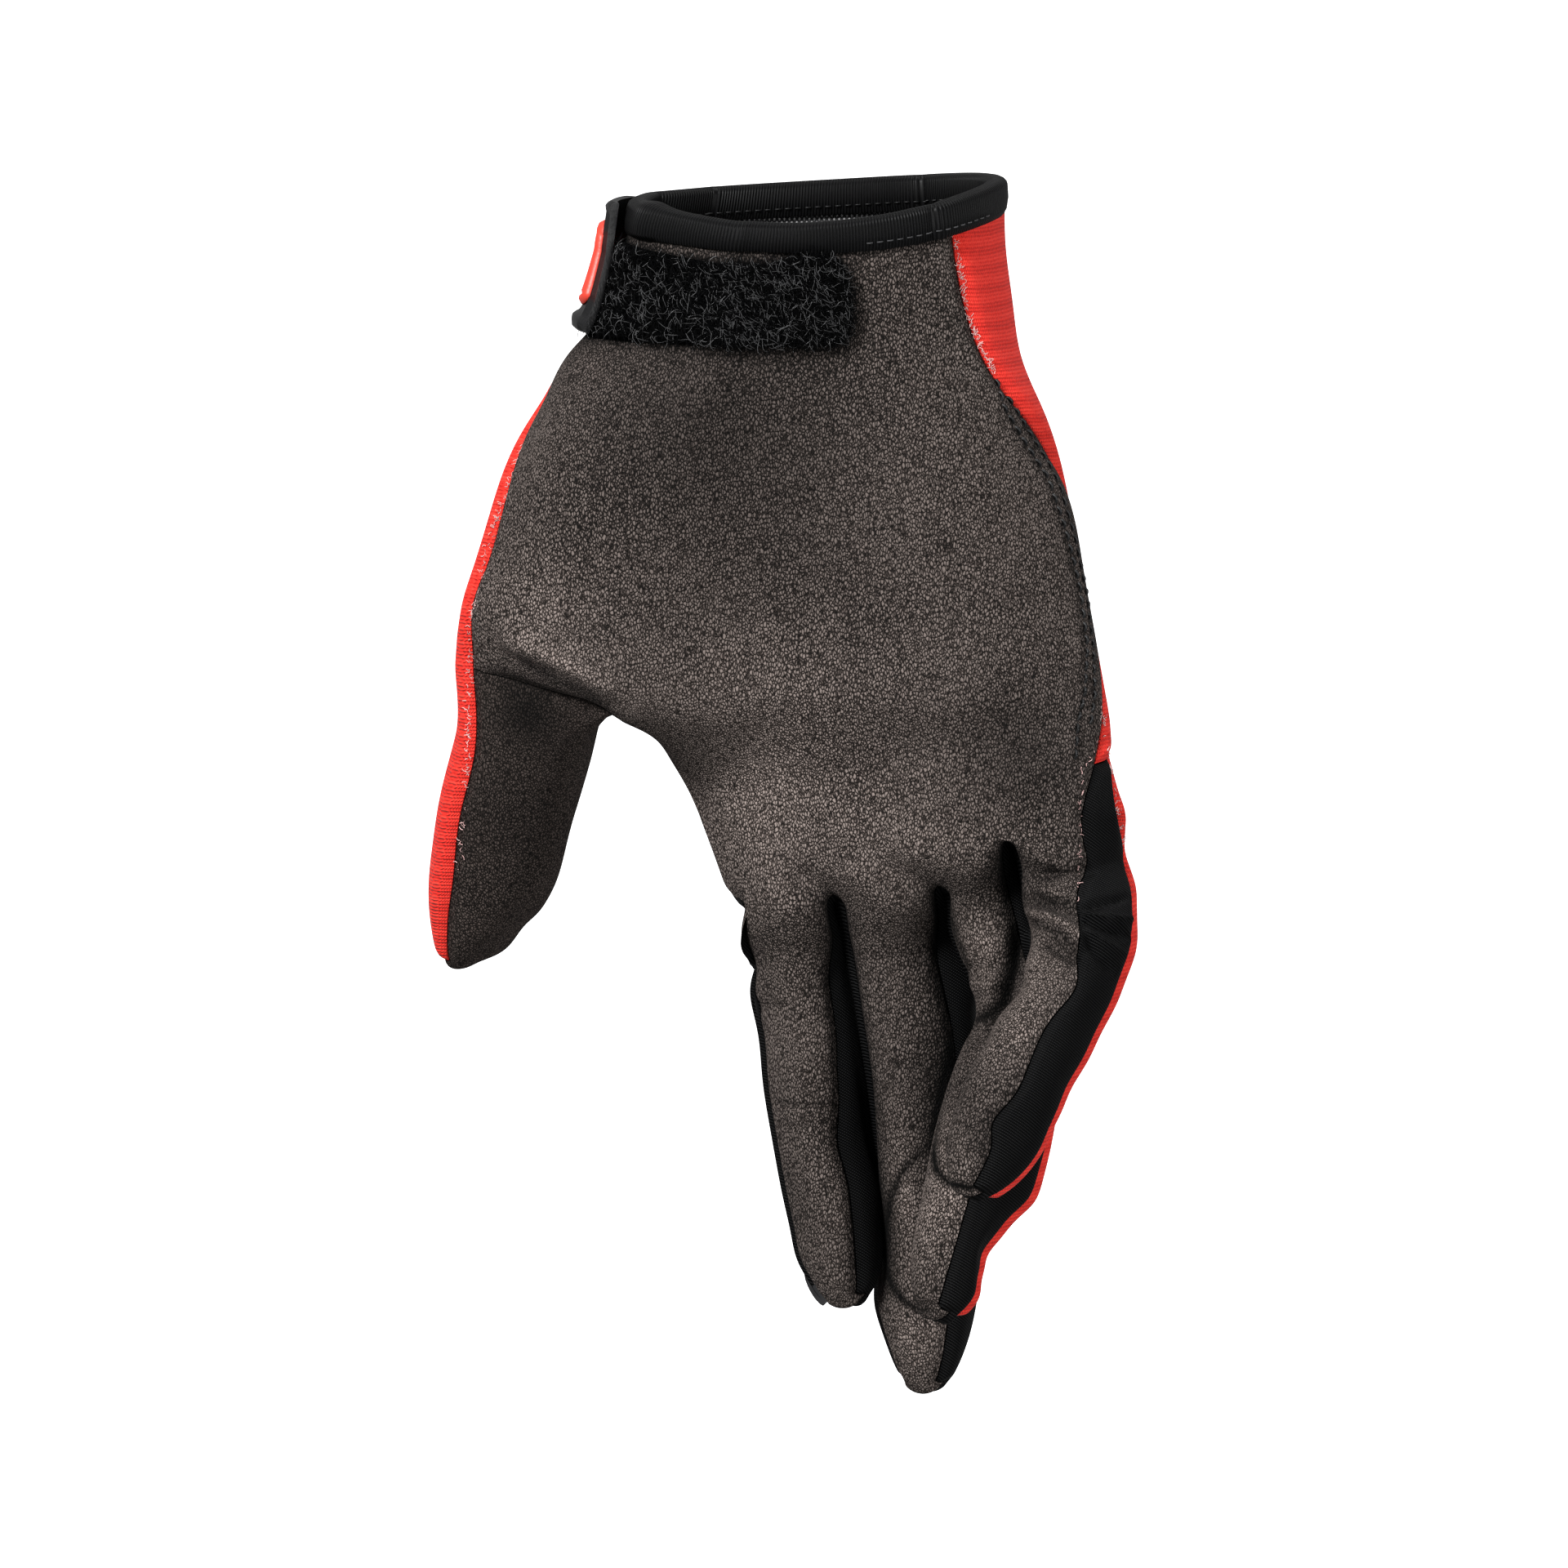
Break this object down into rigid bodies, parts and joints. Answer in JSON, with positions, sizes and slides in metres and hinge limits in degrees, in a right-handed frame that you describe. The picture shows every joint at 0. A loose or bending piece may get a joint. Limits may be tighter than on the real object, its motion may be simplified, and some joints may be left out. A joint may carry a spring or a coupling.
{
  "type": "motocross glove",
  "caption": "Right-hand riding glove with a suede palm, knit back, stretch finger gussets and a hook-and-loop wrist tab, shaped as if worn.",
  "frame": {"origin": "middle of the wrist opening", "axes": "+Z points out of the wrist opening, the fingers point along -Z, the palm faces -Y and the thumb is on -X"},
  "size_m": [0.1198, 0.0765, 0.2084],
  "materials": {
    "suede": "matte, grainy synthetic suede",
    "red_knit": "fine ribbed jersey",
    "black_stretch": "smooth stretch twill",
    "black_binding": "ribbed elastic",
    "dark_mesh": "open mesh lining",
    "loop_fuzz": "fuzzy loop tape",
    "black_moulded": "satin moulded rubber",
    "red_rubber": "satin rubber"
  },
  "bodies": {
    "root": {"palm_panel": "suede", "thumb_panel": "suede", "back_panel": "red_knit", "index_outer_gusset": "black_stretch", "index_middle_gusset": "black_stretch", "middle_ring_gusset": "black_stretch", "ring_pinky_gusset": "black_stretch", "pinky_outer_gusset": "black_stretch", "cuff_binding": "black_binding", "cuff_lining": "dark_mesh", "loop_patch": "loop_fuzz", "closure_tab": "black_moulded", "tab_patch": "red_rubber"}
  },
  "joints": []
}
